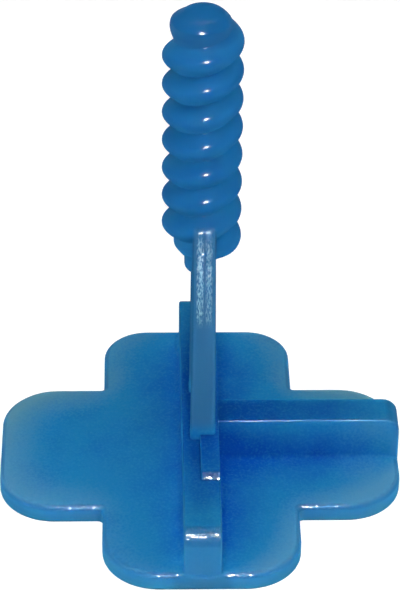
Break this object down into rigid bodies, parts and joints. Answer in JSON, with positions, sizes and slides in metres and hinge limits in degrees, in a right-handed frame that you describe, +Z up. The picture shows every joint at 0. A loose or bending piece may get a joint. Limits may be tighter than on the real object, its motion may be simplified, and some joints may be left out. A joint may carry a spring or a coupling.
{
  "type": "tile levelling clip",
  "caption": "One-piece plastic tile levelling clip for a T joint: cross-shaped base plate, spacer ribs, break-off strap with a window, and a coarse threaded stem for a clamping nut.",
  "frame": {"origin": "middle of the base plate's underside, on the stem's axis", "axes": "+Z up the stem, +X along the single side rib, +Y to the back of the long wall"},
  "size_m": [0.033, 0.033, 0.0434],
  "materials": {
    "clip_plastic": "glossy, slightly translucent blue moulded plastic"
  },
  "bodies": {
    "root": {"levelling_clip": "clip_plastic"}
  },
  "joints": []
}
